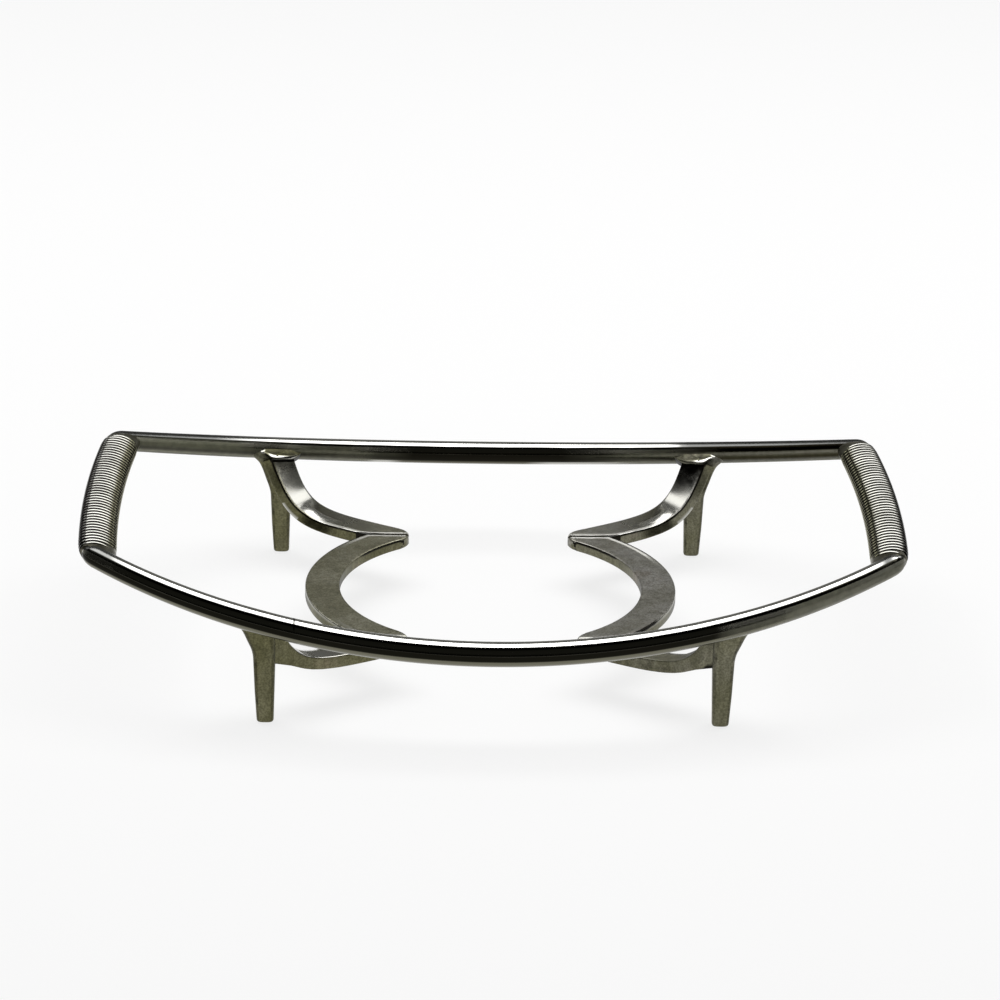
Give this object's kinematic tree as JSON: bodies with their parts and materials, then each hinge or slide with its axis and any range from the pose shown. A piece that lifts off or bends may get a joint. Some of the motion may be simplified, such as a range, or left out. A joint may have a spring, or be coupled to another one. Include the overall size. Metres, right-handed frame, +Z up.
{
  "type": "casserole trivet stand",
  "caption": "Low open metal table stand for a hot casserole dish: a bowed rod rim with wire-bound side handles on flared legs, whose sloping arms carry an interrupted flat ring.",
  "frame": {"origin": "on the table, under the middle of the stand", "axes": "+X towards the right-hand handle, +Y towards the rear rail, +Z up"},
  "size_m": [0.3052, 0.2148, 0.0586],
  "materials": {
    "rail_metal": "polished silver plate",
    "core_metal": "polished silver plate",
    "wire_metal": "bright close-wound wire",
    "frame_metal": "satin cast silver plate, polished on the upper faces of the arms"
  },
  "bodies": {
    "root": {"rear_rail": "rail_metal", "front_rail": "rail_metal", "right_handle_core": "core_metal", "left_handle_core": "core_metal", "right_handle_wrap": "wire_metal", "left_handle_wrap": "wire_metal", "rear_right_leg": "frame_metal", "rear_right_arm": "frame_metal", "front_left_leg": "frame_metal", "front_left_arm": "frame_metal", "rear_left_leg": "frame_metal", "rear_left_arm": "frame_metal", "front_right_leg": "frame_metal", "front_right_arm": "frame_metal", "right_ring_segment": "frame_metal", "left_ring_segment": "frame_metal"}
  },
  "joints": []
}
